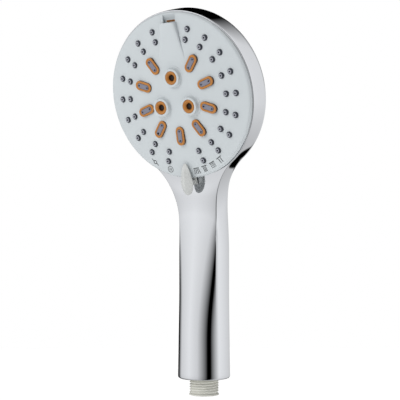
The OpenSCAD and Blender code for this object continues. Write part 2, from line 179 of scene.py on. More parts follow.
def box(low, high):
    (x0, y0, z0), (x1, y1, z1) = low, high
    ring = [(x0, y0), (x1, y0), (x1, y1), (x0, y1)]
    points = [(x, y, z0) for x, y in ring] + [(x, y, z1) for x, y in ring]
    sides = [[i, (i + 1) % 4, (i + 1) % 4 + 4, i + 4] for i in range(4)]
    return points, [[3, 2, 1, 0], [4, 5, 6, 7]] + sides


def loft(rings):
    """Closed solid through rings of points, capped at both ends."""
    points, faces = grid(rings, close_columns=True)
    count = len(rings[0])
    last = (len(rings) - 1) * count
    faces.append(list(range(count))[::-1])
    faces.append([last + i for i in range(count)])
    return points, faces


def sector(inner, outer, half_angle, low, high):
    """Part of a ring, centred on the direction -y."""
    steps = 10
    rings = []
    for i in range(steps + 1):
        degrees = -90 - half_angle + 2 * half_angle * i / steps
        a, b = polar(inner, degrees), polar(outer, degrees)
        rings.append([(*a, low), (*b, low), (*b, high), (*a, high)])
    return loft(rings)


# ---------------------------------------------------------------- meshes and objects
def make_mesh(name, shape, matrix=Matrix.Identity(4)):
    points, faces = shape
    mesh = bpy.data.meshes.new(name)
    mesh.from_pydata([(matrix @ Vector(p)) * MM for p in points], [], faces)
    return clean(mesh)


def clean(mesh):
    work = bmesh.new()
    work.from_mesh(mesh)
    bmesh.ops.remove_doubles(work, verts=work.verts, dist=2e-7)
    bmesh.ops.dissolve_degenerate(work, edges=work.edges, dist=1e-7)
    bmesh.ops.recalc_face_normals(work, faces=work.faces)
    work.to_mesh(mesh)
    work.free()
    mesh.update()
    return mesh


def carve(mesh, tool, operation="DIFFERENCE"):
    """Boolean of a mesh with a shape that has been made into a mesh."""
    base = bpy.data.objects.new("carve_base", mesh)
    cutter = bpy.data.objects.new("carve_tool", tool)
    for item in (base, cutter):
        scene.collection.objects.link(item)
    step = base.modifiers.new("carve", "BOOLEAN")
    step.operation = operation
    step.solver = "EXACT"
    step.object = cutter
    shown = base.evaluated_get(bpy.context.evaluated_depsgraph_get())
    result = bpy.data.meshes.new_from_object(shown)
    for item in (base, cutter):
        bpy.data.objects.remove(item)
    return clean(result)


def piece(name, mesh, material, body="handset", smooth=35):
    """A finished piece of the visual model, riding on a CAD body."""
    mesh.name = name
    mesh.materials.clear()
    for item in material if isinstance(material, list) else [material]:
        mesh.materials.append(item)
    for face in mesh.polygons:
        face.use_smooth = True
    mesh.set_sharp_from_angle(angle=math.radians(smooth))
    item = bpy.data.objects.new(name, mesh)
    scene.collection.objects.link(item)
    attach(item, body)
    return item


# ---------------------------------------------------------------- materials
def nodes_of(owner):
    owner.use_nodes = True
    owner.node_tree.nodes.clear()
    return owner.node_tree.nodes, owner.node_tree.links


def finish_material(name, colour, rough, grain=900, bump=0.1, tint=0.03, spread=0.05, **sockets):
    """Plastic, rubber or metal: noise varies its colour and roughness and gives it a grain.
    sockets are values of the shader's own inputs."""
    material = bpy.data.materials.new(name)
    nodes, links = nodes_of(material)
    out = nodes.new("ShaderNodeOutputMaterial")
    shader = nodes.new("ShaderNodeBsdfPrincipled")
    links.new(shader.outputs["BSDF"], out.inputs["Surface"])
    where = nodes.new("ShaderNodeTexCoord")
    cloud = nodes.new("ShaderNodeTexNoise")
    cloud.inputs["Scale"].default_value = grain / 12
    cloud.inputs["Detail"].default_value = 3
    links.new(where.outputs["Object"], cloud.inputs["Vector"])
    blend = nodes.new("ShaderNodeMix")
    blend.data_type = "RGBA"
    blend.inputs[6].default_value = (*[c * (1 - tint) for c in colour], 1)
    blend.inputs[7].default_value = (*[min(1, c * (1 + tint)) for c in colour], 1)
    links.new(cloud.outputs["Fac"], blend.inputs[0])
    links.new(blend.outputs[2], shader.inputs["Base Color"])
    fine = nodes.new("ShaderNodeTexNoise")
    fine.inputs["Scale"].default_value = grain
    fine.inputs["Detail"].default_value = 4
    links.new(where.outputs["Object"], fine.inputs["Vector"])
    rough_map = nodes.new("ShaderNodeMapRange")
    rough_map.inputs["To Min"].default_value = max(0.0, rough - spread)
    rough_map.inputs["To Max"].default_value = rough + spread
    links.new(fine.outputs["Fac"], rough_map.inputs["Value"])
    links.new(rough_map.outputs["Result"], shader.inputs["Roughness"])
    if bump:
        relief = nodes.new("ShaderNodeBump")
        relief.inputs["Strength"].default_value = bump
        relief.inputs["Distance"].default_value = 0.00005
        links.new(fine.outputs["Fac"], relief.inputs["Height"])
        links.new(relief.outputs["Normal"], shader.inputs["Normal"])
    for socket, value in sockets.items():
        shader.inputs[socket.replace("_", " ")].default_value = value
    return material


chrome = finish_material(
    "chrome", (0.90, 0.92, 0.955), 0.04, grain=220, bump=0, tint=0.01, spread=0.015, Metallic=1.0
)
face_white = finish_material("face_white", (0.545, 0.585, 0.605), 0.3, grain=1400, bump=0.12, tint=0.015)
amber = finish_material("amber_plastic", (0.45, 0.18, 0.035), 0.3, grain=700, tint=0.12)
# Dark copy of the amber: painted shade for side walls and for the insides of the mist nozzles.
amber_painted_shade = finish_material("amber_painted_shade", (0.06, 0.022, 0.008), 0.3, grain=700, tint=0.12)
# Soft nozzles: the near-black copy is painted shade for their side walls, the grey copy is painted light
# for the faces turned out of the face.
silicone_shade_paint = finish_material("silicone_painted_shade", (0.04, 0.045, 0.06), 0.55, grain=2500, bump=0.3, tint=0.1)
silicone_light_paint = finish_material("silicone_grey", (0.32, 0.33, 0.37), 0.6, grain=2500, bump=0.3, tint=0.08)
pad_grey = finish_material("silicone_pad", (0.2, 0.2, 0.25), 0.55, grain=2500, bump=0.3, tint=0.08)
lever_grey = finish_material("lever_grey", (0.585, 0.6, 0.59), 0.35, grain=1400, tint=0.02)
thread_white = finish_material("thread_white", (0.68, 0.68, 0.63), 0.5, grain=1600, bump=0.25, tint=0.04)
print_grey = finish_material("print_grey", (0.07, 0.075, 0.08), 0.5, grain=3000, bump=0.1, tint=0.1)
swirl_grey = finish_material("swirl_grey", (0.025, 0.015, 0.012), 0.6)
white_abs = finish_material("white_abs", (0.82, 0.82, 0.8), 0.45)
black_rubber = finish_material("black_rubber", (0.04, 0.04, 0.045), 0.6, grain=2500, bump=0.3, tint=0.15)
ivory = finish_material("ivory_acetal", (0.8, 0.78, 0.7), 0.45)
spring_steel = finish_material("spring_steel", (0.62, 0.62, 0.64), 0.25, tint=0.05, Metallic=1.0)
steel = finish_material("steel", (0.6, 0.6, 0.62), 0.3, tint=0.05, Metallic=1.0)
brass = finish_material("brass", (0.72, 0.55, 0.25), 0.25, tint=0.06, Metallic=1.0)
green = finish_material("green_acetal", (0.35, 0.6, 0.38), 0.45)
blue = finish_material("blue_acetal", (0.25, 0.4, 0.6), 0.45)

CAD_LOOKS = {
    "chamber_plate": white_abs, "channel_plate": white_abs, "riser_tube": white_abs,
    "port_gasket": black_rubber, "kidney_seal": black_rubber, "riser_o_rings": black_rubber,
    "connector_o_ring": black_rubber, "regulator_o_ring": black_rubber,
    "check_valve_o_ring": black_rubber, "manifold": ivory, "rotor_disc": ivory,
    "check_valve_body": ivory, "seal_springs": spring_steel, "detent_spring": spring_steel,
    "check_valve_spring": spring_steel, "axle_pin": steel, "lever_pins": steel,
    "plate_screws": steel, "inlet_filter": steel, "rotor_bush": brass,
    "mist_swirlers": swirl_grey, "flow_regulator": green, "check_poppet": blue,
    "body_shell": chrome, "face_plate": face_white, "jet_plate": amber,
    "nozzle_mat": silicone_shade_paint, "selector_lever": lever_grey, "inlet_connector": thread_white,
}
for node, look in CAD_LOOKS.items():
    item = frame["nodes"][node]
    item.data.materials.clear()
    item.data.materials.append(look)


# ---------------------------------------------------------------- camera
# It is level, at the head's right front, and looks at the face from 34.3 degrees to the side.
# FACE_RIGHT, FACE_UP and FACE_AHEAD are where the face's middle lies from it, in metres.
CAMERA_TURN = math.radians(34.3)
camera_data = bpy.data.cameras.new("camera")
camera_data.lens = 112.5
camera_data.sensor_width = 36
camera = bpy.data.objects.new("camera", camera_data)
scene.collection.objects.link(camera)
scene.camera = camera
camera.rotation_euler = (math.pi / 2, 0, CAMERA_TURN)
look_right = Vector((math.cos(CAMERA_TURN), math.sin(CAMERA_TURN), 0))
look_ahead = Vector((-math.sin(CAMERA_TURN), math.cos(CAMERA_TURN), 0))
FACE_RIGHT, FACE_UP, FACE_AHEAD = -0.01606, 0.07222, 0.8728
face_point = (centre + 4.55 * normal) * MM
camera.location = (
    face_point - FACE_RIGHT * look_right - FACE_UP * Vector((0, 0, 1)) - FACE_AHEAD * look_ahead
)

# ---------------------------------------------------------------- chrome shell
# A grid: each station is a strip from the rim's inner edge, over the crease and the side
# wall, to the spine of the back. Stations run round the head, down the neck and the handle.
# A place on it is (x, y, depth): y along up_face, depth behind the rim's plane.
HEAD_R = 60.0
SIDE_DEPTH = 15.0
BACK_DEPTH = 27.5
WAIST_R = 17.2
FILLET_R = 46.0
FILLET_X = WAIST_R + FILLET_R
FILLET_Y = -math.sqrt((HEAD_R + FILLET_R) ** 2 - FILLET_X**2)
FILLET_TURN = math.degrees(math.atan2(FILLET_Y, FILLET_X))
LIP_R = 57.4
FOOT_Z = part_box("body_shell")[0].z / MM
FOOT_Y = (FOOT_Z - centre.z) / math.cos(tilt)
FOOT_ROUND = 1.4
FOOT_BORE = 15.3
SHELL_WALL = 2.3
NECK_DEPTH = 2.3
EDGE_TURN = math.radians(28)


def slope_y(y):
    """World Y of the rim's plane at y, negated: depth at which the handle's axis lies."""
    return -(centre.y - math.sin(tilt) * y)


def height(y):
    return centre.z + math.cos(tilt) * y


def grip_width(y):
    """Half width of the handle."""
    flare = 18 + 0.75 * clamp((72 - height(y)) / 57) ** 1.3
    return mix(flare, WAIST_R, ease((y + 112) / (FILLET_Y + 112)))


def crease_depth(y):
    if y > -46:
        return mix(NECK_DEPTH - 0.3, 0.3, ease((y + 46) / 16))
    if y > -66:
        return mix(NECK_DEPTH, NECK_DEPTH - 0.3, ease((y + 60) / 14))
    low = slope_y(min(y, -92)) - grip_width(min(y, -92)) * math.sin(EDGE_TURN)
    if y < -92:
        return low
    return hermite(-y, 66, NECK_DEPTH, 0, 92, low, -math.sin(tilt))


def shoulder_depth(y):
    if y < -105:
        return slope_y(y)
    return hermite(-y, 50, SIDE_DEPTH, 0, 105, slope_y(-105), -math.sin(tilt))


def spine_depth(y):
    if y < -105:
        return slope_y(y) + grip_width(y)
    low = slope_y(-105) + grip_width(-105)
    return hermite(-y, 0, BACK_DEPTH, 0, 105, low, -math.sin(tilt))


def crease_gap(y):
    """How far the crease lies inside the outline."""
    return mix((1 - math.cos(EDGE_TURN)) * grip_width(y), 0.6, ease((y + 112) / 35))


def front_roundness(y):
    """How round the front is: flat at the neck, bowed further down, a circle at the foot."""
    straight, overrun = 0.85, 0.3
    t = min(max(0, (-61 - y) / 102), straight + overrun)
    soft_end = (1 - straight) * (1 - (1 - max(0, t - straight) / overrun) ** 2)
    return (min(t, straight) + soft_end) * ease((-58 - y) / 14)


def front_depth(x, y, half):
    """Depth of the front of the neck and handle between its creases."""
    radius = half / math.cos(EDGE_TURN)
    bow = math.sqrt(max(0, radius**2 - x**2)) - math.sqrt(radius**2 - half**2)
    return crease_depth(y) - 0.1 * (1 - (x / half) ** 2) - front_roundness(y) * bow


def shell_point(x, y, depth):
    """World place of (x, y, depth). Depth runs square to the face on the head and along
    world Y on the handle."""
    lean = tilt * (1 - ease((-60 - y) / 45))
    back = Vector((0, math.cos(lean), math.sin(lean)))
    return centre + y * up_face + Vector((x, 0, 0)) + depth * back


def outline_point(station):
    """(outline point, outward direction, inner point, spine point) of a station. Stations
    0 to 1 run round the head, 1 to 2 along the neck's fillet, 2 to 3 down the handle."""
    if station < 1:
        a = mix(math.pi / 2, math.radians(FILLET_TURN), station)
        out = Vector((math.cos(a), math.sin(a)))
        return HEAD_R * out, out, LIP_R * out, Vector((0, 0))
    if station < 2:
        t = station - 1
        a = mix(math.pi + math.radians(FILLET_TURN), math.pi, t)
        out = -Vector((math.cos(a), math.sin(a)))
        point = Vector((FILLET_X, FILLET_Y)) - FILLET_R * out
        return point, out, inner_point(point.y), Vector((0, point.y * ease(t)))
    y = mix(FILLET_Y, FOOT_Y, station - 2)
    return Vector((grip_width(y), y)), Vector((1, 0)), Vector((0, y)), Vector((0, y))


def inner_point(y):
    """Where a strip starts: on the lip's circle beside the lever, then on the centreline."""
    start = FILLET_TURN
    top = HEAD_R * math.sin(math.radians(start))
    if y > -66:
        t = (top - y) / (top + 66)
        return Vector(polar(LIP_R, mix(start, -90, ease(t) * 0.5 + t * 0.5)))
    t = clamp((-66 - y) / (-66 - FILLET_Y))
    return Vector((0, mix(-LIP_R, FILLET_Y, t)))


def strip(station):
    """Half of a section of the shell, as world points."""
    edge, out, inner, spine = outline_point(station)
    gap = crease_gap(edge.y)
    corner = edge - gap * out
    rounding = mix(0.5, 0.9, ease((-edge.y - 85) / 60))
    flat_front = station < 1
    path = corner - inner
    length = path.length
    points = []
    crease = crease_depth(edge.y)

    def front(t):
        place = inner + path * t
        if flat_front:
            return Vector((place.x, place.y, mix(crease_depth(place.y), crease, t)))
        return Vector((place.x, place.y, front_depth(place.x, place.y, max(corner.x, 1))))

    bend = math.radians(62)
    front_count = 18
    stop = 1 - rounding / length if length > rounding else 0.3
    for i in range(front_count + 1):
        t = math.sin(bend * i / front_count) / math.sin(bend)
        points.append(front(t * stop))
    corner_point = front(1.0)
    shoulder = shoulder_depth(edge.y)
    roundness = 1 - ease((edge.y + 112) / 35)
    radius = grip_width(edge.y)

    def side(t):
        wall_turn = math.pi / 2 * t
        wall = corner + gap * math.sin(wall_turn) * out
        wall_depth = shoulder + (crease - shoulder) * math.cos(wall_turn)
        arc_turn = -EDGE_TURN * (1 - t)
        arc_x = radius * math.cos(arc_turn)
        arc_depth = slope_y(edge.y) + radius * math.sin(arc_turn)
        x = mix(wall.x, arc_x, roundness) if station >= 1 else wall.x
        depth = mix(wall_depth, arc_depth, roundness) if station >= 1 else wall_depth
        return Vector((x, wall.y, depth))

    wall_height = max(shoulder - crease, 1)
    turn_start = math.acos(clamp(1 - rounding / wall_height)) / (math.pi / 2)
    side_start = mix(turn_start, rounding / (radius * EDGE_TURN), roundness)
    first, last = points[-1], side(side_start)
    for i in range(1, 6):
        t = i / 6
        rounded = first * (1 - t) ** 2 + corner_point * 2 * t * (1 - t) + last * t * t
        sharp = front(mix(stop, 1, 2 * t)) if t < 0.5 else side(side_start * (2 * t - 1))
        points.append(rounded.lerp(sharp, roundness))
    for i in range(11):
        points.append(side(mix(side_start, 1, i / 10)))
    back_count = 20
    for i in range(1, back_count + 1):
        a = math.pi / 2 * i / back_count
        c, s = math.cos(a), math.sin(a)
        place = spine + (edge - spine) * c
        points.append(Vector((place.x, place.y, mix(shoulder, spine_depth(spine.y), s))))
    return [shell_point(*p) for p in points]


def shell_shape():
    stations = [i / 60 for i in range(60)] + [1 + i / 34 for i in range(34)]
    foot_length = FOOT_ROUND / (FILLET_Y - FOOT_Y) * 1.02
    stations += [2 + (1 - foot_length) * i / 50 for i in range(51)]
    rows = [strip(s) for s in stations]
    # Foot: the last section turned in over a rounded edge to the handle's bore
    base = rows[-1]
    base_r = grip_width(FOOT_Y)
    for i in range(1, 7):
        a = math.pi / 2 * i / 6
        inset = 1 - FOOT_ROUND * (1 - math.cos(a)) / base_r
        z = FOOT_Z + FOOT_ROUND * (1 - math.sin(a))
        rows.append([Vector((p.x * inset, p.y * inset, z)) for p in base])
    for k in (0.5, 1):
        inset = mix(1 - FOOT_ROUND / base_r, FOOT_BORE / base_r, k)
        rows.append([Vector((p.x * inset, p.y * inset, FOOT_Z)) for p in base])
    half = grid(rows)
    other = placed(half, Matrix.Scale(-1, 4, (1, 0, 0)))
    return joined([half, (other[0], [f[::-1] for f in other[1]])])


shell = piece("chrome_shell", make_mesh("chrome_shell", shell_shape()), chrome, smooth=42)
thick = shell.modifiers.new("wall", "SOLIDIFY")
thick.thickness = SHELL_WALL * MM
thick.offset = -1
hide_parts("body_shell")

# ---------------------------------------------------------------- face plate
# Domed plate with a rounded rim, the fan jet's hood, and a raised boss at each mist nozzle
HOOD_TOP = 7.1
HOOD_START = 23.0


def plate_outline():
    rim_r = 56.5
    outline = [(0, CROWN - PLATE_T), (0, CROWN)]
    outline += [(rim_r * i / 30, dome(rim_r * i / 30)) for i in range(1, 31)]
    for i in range(1, 9):
        c, s = polar(1, 90 - 90 * i / 8)
        outline.append((rim_r + (PLATE_R - rim_r) * c, dome(rim_r) * s))
    outline += [(PLATE_R - 1.8, 0), (PLATE_R - 1.8, 0.2)]
    outline += [(56 * i / 14, dome(56 * i / 14) - PLATE_T) for i in range(14, 0, -1)]
    return outline


def hood_shape():
    """Ramp with a flat top and rounded shoulders, narrowest and highest at its open end."""
    rings = []
    steps = 26
    for i in range(steps + 1):
        y = mix(HOOD_START, HOOD_END, i / steps)
        half = 6.2 + 0.2 * (HOOD_END - y)
        top = HOOD_TOP - 0.049 * (HOOD_END - y)
        base = dome(math.hypot(half, y)) - 0.6
        ring = [(half, y, base - 0.4), (-half, y, base - 0.4)]
        for k in range(25):
            c, s = polar(1, 180 - 180 * k / 24)
            x = half * math.copysign(abs(c) ** 0.42, c)
            ring.append((x, y, base + (top - base) * abs(s) ** 0.42))
        rings.append(ring)
    return loft(rings)


def face_mesh():
    mesh = make_mesh("face", lathe(plate_outline(), sides=144), head)
    mesh = carve(mesh, make_mesh("hood", hood_shape(), head), "UNION")
    base = dome(MIST_RING)
    boss = [(0, base - 1.6), (8.3, base - 1.6), (8.2, base - 0.12), (7.3, base + 0.12)]
    boss += [(6.75, base + 0.7), (6.5, base + 1.6), (6.4, base + 2.5), (6.25, base + 2.8)]
    boss += [(5.95, base + 2.95), (0, base + 2.95)]
    mesh = carve(mesh, make_mesh("bosses", around(lathe(boss, 64), MIST_RING, MIST_TURNS), head), "UNION")
    hole = cylinder(2.25, -1, 9, 32)
    slot = cylinder(3.42, -1, 9, 48, 3.3)
    mist = cylinder(4.85, -1, 12, 64)
    cuts = [around(hole, OUTER_RING, NOZZLE_TURNS), around(hole, INNER_RING, NOZZLE_TURNS)]
    cuts += [around(slot, SLOT_RING, SLOT_TURNS), around(mist, MIST_RING, MIST_TURNS)]
    mesh = carve(mesh, make_mesh("cuts", joined(cuts), head))
    floor = make_mesh("floor", box((-5.5, 51.2, -0.25), (5.5, 55.9, 0.6)), head)
    mesh = carve(mesh, floor, "UNION")
    side = [(HOOD_END - 0.03, 0.4), (FAN_Y + 1, 0.4), (57.6, 2.4), (57.6, 9), (HOOD_END - 0.03, 9)]
    notch = loft([[(x, y, z) for y, z in side] for x in (-5.15, 5.15)])
    mesh = carve(mesh, make_mesh("notch", notch, head))
    slit = make_mesh("slit", box((-3.7, FAN_Y - 0.7, -1), (3.7, FAN_Y + 0.7, 3)), head)
    return carve(mesh, slit)


face = piece("spray_face", face_mesh(), face_white, smooth=30)
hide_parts("face_plate")


# ---------------------------------------------------------------- amber jets
def amber_shape():
    top = dome(SLOT_RING) + 1.6
    inner, outer = 2.95, 3.3
    collar = [(1.85, JET_TOP, inner), (3.35, JET_TOP, outer)]
    for i in range(6):
        c, s = polar(0.5, 18 * i)
        collar.append((2.85 + c, top - 0.5 + s, outer))
    for i in range(4):
        c, s = polar(0.3, 90 + 30 * i)
        collar.append((2.15 + c, top - 0.3 + s, inner))
    mist_top = 9.6
    mist = [(2.6, JET_TOP), (4.75, JET_TOP)]
    for i in range(7):
        c, s = polar(0.75, 15 * i)
        mist.append((4.0 + c, mist_top - 0.75 + s))
    mist += [(3.55, mist_top - 0.06), (2.9, mist_top - 0.5), (2.3, mist_top - 1.3)]
    mist += [(1.95, mist_top - 1.9), (1.95, mist_top - 2.9), (2.6, mist_top - 3.2)]
    parts = [
        around(lathe(collar, 48), SLOT_RING, SLOT_TURNS),
        around(lathe(mist, 64), MIST_RING, MIST_TURNS),
    ]
    return joined(parts)


def fan_mesh():
    """Flat nozzle of the fan jet, rounded at its ends."""
    reach = 3.0
    outline = [(0, JET_BACK, reach), (0.6, JET_BACK, reach), (0.6, 0.55, reach)]
    outline += [(0.5, 0.7, reach), (0, 0.7, reach)]
    outside = lathe(outline, 16)
    inside = cylinder(0.3, -3, 3, 16, reach - 0.2)
    where = head @ Matrix.Translation((0, FAN_Y, 0))
    return carve(make_mesh("fan", outside, where), make_mesh("fan_slit", inside, where))


def base_disc(low, high, extra):
    """Disc behind the face, cleared for what passes through it."""
    disc = make_mesh("disc", cylinder(STACK_R, low, high, 96), head)
    hole = cylinder(2.5, low - 1, high + 1, 16)
    cuts = [around(hole, OUTER_RING, NOZZLE_TURNS), around(hole, INNER_RING, NOZZLE_TURNS)]
    return carve(disc, make_mesh("cuts", joined(cuts + extra), head))


def mesh_join(meshes):
    work = bmesh.new()
    for mesh in meshes:
        work.from_mesh(mesh)
    out = bpy.data.meshes.new("joined")
    work.to_mesh(out)
    work.free()
    return out


def in_throat(place):
    """True inside a mist nozzle, where little light comes in."""
    axes = [Vector((*polar(MIST_RING, turn), place.z)) for turn in MIST_TURNS]
    return COLLAR_LEVEL < place.z < THROAT_LEVEL and min((place - axis).length for axis in axes) < 2.5


# Heights in the head's frame: side walls below the first and the mist throats below the second get the
# dark amber painted as shade
COLLAR_LEVEL = 6.3
THROAT_LEVEL = 8.9
amber_disc = base_disc(JET_BACK, JET_TOP, [
    around(cylinder(1.85, -3, 3, 24, 2.95), SLOT_RING, SLOT_TURNS),
    around(cylinder(2.6, -3, 3, 32), MIST_RING, MIST_TURNS),
])


jets = piece(
    "amber_jets",
    mesh_join([amber_disc, make_mesh("jets", amber_shape(), head), fan_mesh()]),
    [amber, amber_painted_shade], smooth=40,
)
# Painted shade: faces turned away from the face below the collars' level, and the mist throats, take the
# dark amber copy.
for polygon in jets.data.polygons:
    place = head.inverted() @ (polygon.center / MM)
    collar_side = polygon.normal.dot(normal) < 0.3 and place.z < COLLAR_LEVEL
    if collar_side or in_throat(place):
        polygon.material_index = 1
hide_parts("jet_plate")


# ---------------------------------------------------------------- silicone mat
def nozzle_outline(radius):
    """Soft nozzle with a rounded tip and a countersunk bore."""
    level = dome(radius)
    outline = [(0.55, JET_BACK), (2.15, JET_BACK), (2.15, level + 0.4), (2.08, level + 0.6)]
    outline += [(1.52, level + 1.35), (1.44, level + 1.46), (1.3, level + 1.5), (1.05, level + 1.48)]
    outline += [(0.72, level + 1.35), (0.58, level + 1.2), (0.55, level + 1.0)]
    return outline


def pad_mesh():
    top = dome(SLOT_RING) + 1.8
    reach = 2.95
    outline = [(0, JET_BACK, reach), (1.75, JET_BACK, reach)]
    for i in range(6):
        c, s = polar(0.4, 18 * i)
        outline.append((1.35 + c, top - 0.4 + s, reach))
    outline.append((0, top, reach))
    pads = make_mesh("pads", around(lathe(outline, 32), SLOT_RING, SLOT_TURNS), head)
    hole = lathe([(0, -4), (0.6, -4), (0.6, top - 0.3), (0.85, top + 0.05), (0.85, 9), (0, 9)], 20)
    pair = joined([placed(hole, Matrix.Translation((s * 3.4, 0, 0))) for s in (-1, 1)])
    return carve(pads, make_mesh("holes", around(pair, SLOT_RING, SLOT_TURNS), head))


def nozzle_ring(name, radius):
    return make_mesh(name, around(lathe(nozzle_outline(radius), 32), radius, NOZZLE_TURNS), head)


mist_clearance = around(cylinder(3.7, -5, 3, 32), MIST_RING, MIST_TURNS)
nozzles = piece(
    "soft_nozzles",
    mesh_join([
        base_disc(MAT_BACK, JET_BACK - 0.01, [mist_clearance]),
        nozzle_ring("outer", OUTER_RING),
        nozzle_ring("inner", INNER_RING),
    ]),
    [silicone_shade_paint, silicone_light_paint], smooth=50,
)
# Painted light: faces turned out of the face take the grey copy; all other faces keep the near-black
# painted shade.
PAINTED_LIGHT_FACING = 0.62
for polygon in nozzles.data.polygons:
    if polygon.normal.dot(normal) > PAINTED_LIGHT_FACING:
        polygon.material_index = 1
pads = piece("jet_pads", pad_mesh(), pad_grey, smooth=40)
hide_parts("nozzle_mat")


# ---------------------------------------------------------------- selector lever
THUMB_TIP = -47.4
THUMB_END = -70.2
THUMB_BACK = 5.1


def thumb_half_width(t):
    widest = 0.575
    if t < widest:
        return 5 * (t / widest) ** 0.48
    return 5 * math.sqrt(max(0, 1 - ((t - widest) / (1 - widest)) ** 2.4))


def thumb_shape():
    """Drop-shaped plate with a rounded ridge along its middle."""
    rings = []
    steps = 40
    for i in range(steps + 1):
        t = 0.5 - 0.5 * math.cos(math.pi * mix(0.02, 0.985, i / steps))
        y = mix(THUMB_TIP, THUMB_END, t)
        half = max(0.15, thumb_half_width(t))
        rise = ease(t / 0.45) * 2.9 + 0.5 * ease((t - 0.3) / 0.5)
        edge = THUMB_BACK + 0.35 + 0.6 * clamp(half / 2)
        ridge = edge + rise * min(1, half / 3.4)
        soft = min(0.35, half * 0.3)
        ring = []
        for side in (-1, 1):
            profile = [(0.86, THUMB_BACK), (1 - 0.2 * soft / half, THUMB_BACK + 0.12)]
            profile += [(1, THUMB_BACK + 0.35), (1, edge - 0.25), (1 - soft / half, edge + 0.08)]
            profile += [(k, mix(ridge, edge, k**1.12)) for k in (0.8, 0.6, 0.4, 0.25, 0.12)]
            points = [(side * half * k, y, z) for k, z in profile]
            ring += points if side < 0 else [(0, y, ridge - 0.05)] + points[::-1]
        rings.append(ring)
    return loft(rings)


def lever_mesh():
    mesh = make_mesh("thumb", thumb_shape(), head)
    parts = [
        sector(60.2, 63.6, 3, -1.3, 5.9),
        sector(54.7, 63.7, 4, -1.3, -0.3),
        sector(54.7, 56.1, 6.5, -11.6, -0.35),
        box((-6.8, -55.95, -11.6), (6.8, -28.1, -10.6)),
    ]
    for part in parts:
        mesh = carve(mesh, make_mesh("part", part, head), "UNION")
    return mesh


lever = piece("thumb_lever", lever_mesh(), lever_grey, body="selector", smooth=38)
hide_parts("selector_lever")

# ---------------------------------------------------------------- threaded inlet
THREAD_R = 10.4775
THREAD_PITCH = 1.8143
THREAD_DEPTH = 1.162
FLANGE_Z = FOOT_Z + 0.4


def thread_radius(z, turn):
    """Outer radius of the thread at a height and a turn from 0 to 1."""
    if z < 0.9:
        return THREAD_R + 0.35 - 0.35 * ease((z - 0.3) / 0.6)
    phase = (z / THREAD_PITCH - turn) % 1
    ridge = ease((0.5 - abs(phase - 0.5)) / 0.42)
    fade = ease((z - 0.9) / 1.2) * (1 - ease((z - 11.4) / 0.8))
    return THREAD_R - THREAD_DEPTH * (1 - ridge * fade)


def inlet_shape():
    sides = 96
    rows = []
    levels = [i * 0.15 for i in range(85)]
    for k in range(sides):
        degrees = 360 * k / sides
        outer = [(thread_radius(z, k / sides), z) for z in levels]
        outer += [(THREAD_R - THREAD_DEPTH, FLANGE_Z), (14.9, FLANGE_Z), (14.9, FLANGE_Z + 1.9)]
        outer += [(13.2, FLANGE_Z + 1.9), (13.2, FLANGE_Z + 3.9), (14.9, FLANGE_Z + 3.9)]
        outer += [(14.9, FLANGE_Z + 5.6), (11.2, FLANGE_Z + 5.6), (11.2, 44)]
        inner = [(7, 44), (7, 9.2), (7.4, 9.2), (7.4, 5), (8.3, 5), (8.3, 0.3), (8.6, 0)]
        rows.append([(*polar(r, degrees), z) for r, z in outer + inner])
    return grid(rows, close_rows=True, close_columns=True)


inlet_mesh = make_mesh("inlet", inlet_shape())
inlet = piece("threaded_inlet", inlet_mesh, thread_white, smooth=40)
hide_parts("inlet_connector")

# ---------------------------------------------------------------- printed setting symbols
SYMBOL_R = 53.9
SYMBOL_SIZE = 1.15
PRINT = 0.05
PRINT_BACK = 0.01


def stroke(x0, y0, x1, y1, width=0.5):
    """Straight printed line as a thin bar with square ends."""
    line = Vector((x1 - x0, y1 - y0)).normalized() * width / 2
    across = Vector((-line.y, line.x))
    start, end = Vector((x0, y0)), Vector((x1, y1))
    corners = [start - across, end - across, end + across, start + across]
    return loft([[(p.x, p.y, z) for p in corners] for z in (PRINT_BACK, PRINT)])


def circle_line(x, y, r, width=0.5):
    inner, outer = r - width / 2, r + width / 2
    ring = lathe([(inner, PRINT_BACK), (outer, PRINT_BACK), (outer, PRINT), (inner, PRINT)], 24)
    return placed(ring, Matrix.Translation((x, y, 0)))


def spray_symbol(tops, bottoms, rows=1):
    """Bar with lines of water below it, in one or more rows."""
    marks = [stroke(-2, 1.7, 2, 1.7, 0.55)]
    for row in range(rows):
        high = mix(1.15, -2, row / rows) - 0.1 * row
        low = mix(1.15, -2, (row + 1) / rows) + (0.25 if rows > 1 else 0)
        for a, b in zip(tops, bottoms):
            ta, tb = (1.15 - high) / 3.15, (1.15 - low) / 3.15
            marks.append(stroke(mix(a, b, ta), high, mix(a, b, tb), low))
    return joined(marks)


massage_symbol = [circle_line(0, 0, 1.05), stroke(-2.9, 0.9, -1.3, 0.1), stroke(1.3, -0.1, 2.9, -0.9)]
pause_symbol = [circle_line(0, 0, 1.9, 0.4)] + [stroke(x, -0.8, x, 0.8) for x in (-0.55, 0.55)]
SYMBOLS = {
    -120.5: joined(massage_symbol),
    -105.8: joined(pause_symbol),
    -81.6: spray_symbol([-1.5, -0.5, 0.5, 1.5], [-2, -0.7, 0.7, 2]),
    -74: spray_symbol([-0.9, 0, 0.9], [-0.9, 0, 0.9]),
    -66: spray_symbol([-1.4, -0.45, 0.45, 1.4], [-1.4, -0.45, 0.45, 1.4], rows=3),
    -58: spray_symbol([-0.8, 0.8], [-0.8, 0.8]),
}


def symbols_shape():
    marks = []
    for degrees, symbol in SYMBOLS.items():
        x, y = polar(SYMBOL_R, degrees)
        place = Matrix.Translation((x, y, dome(SYMBOL_R)))
        place @= Matrix.Rotation(math.radians(degrees + 90), 4, "Z")
        place @= Matrix.Rotation(math.atan(2 * SYMBOL_R / DOME_CURVE), 4, "X")
        place @= Matrix.Diagonal((SYMBOL_SIZE, SYMBOL_SIZE, 1, 1))
        marks.append(placed(symbol, place))
    return joined(marks)


symbols_mesh = make_mesh("symbols", symbols_shape(), head)
symbols = piece("setting_symbols", symbols_mesh, print_grey, smooth=20)


